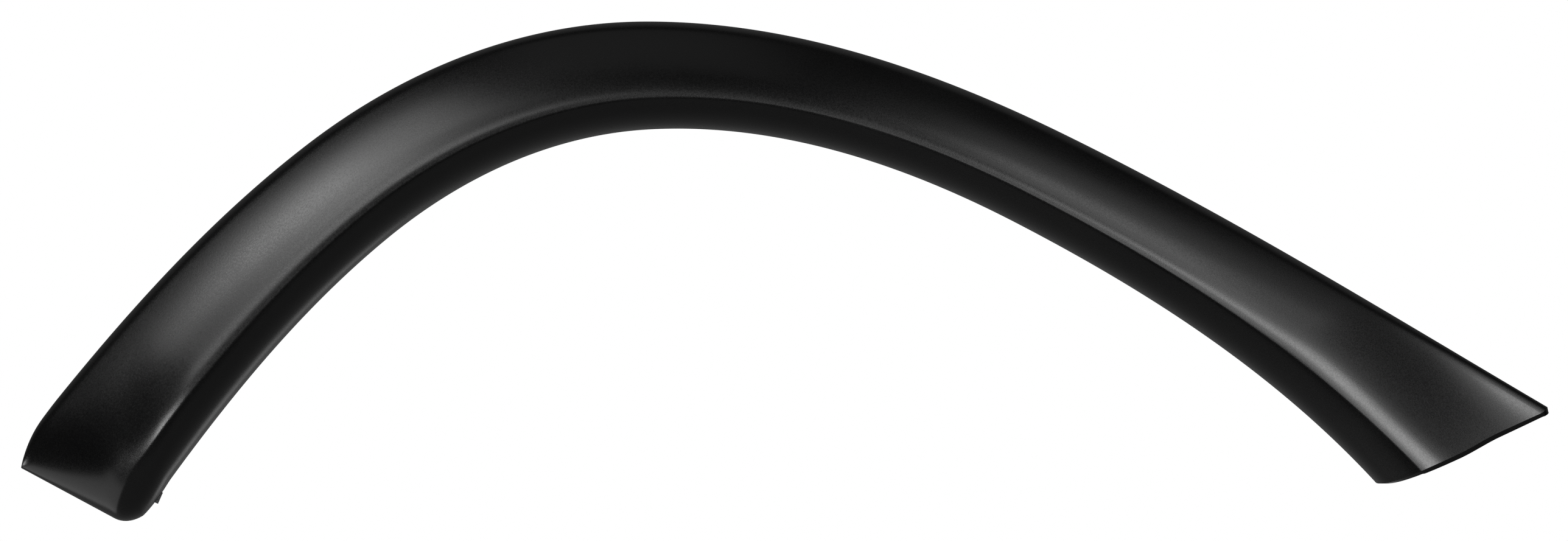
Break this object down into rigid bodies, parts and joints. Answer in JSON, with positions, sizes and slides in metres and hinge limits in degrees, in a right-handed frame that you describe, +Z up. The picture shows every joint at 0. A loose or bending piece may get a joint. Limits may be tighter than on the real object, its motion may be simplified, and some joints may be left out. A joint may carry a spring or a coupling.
{
  "type": "wheel arch trim",
  "caption": "Grained black plastic trim that follows the edge of a car's wheel opening, with a closed foot, a cut tail and a return lip behind.",
  "frame": {"origin": "mouth of the crown fixing's hole, on the plane of the body's surface", "axes": "+X along the car from the closed foot to the cut tail, +Z up, +Y into the car; the visible face looks along -Y"},
  "size_m": [0.8788, 0.0609, 0.2875],
  "materials": {
    "trim": "fine grained matt black moulding"
  },
  "bodies": {
    "root": {"arch_trim": "trim"}
  },
  "joints": []
}
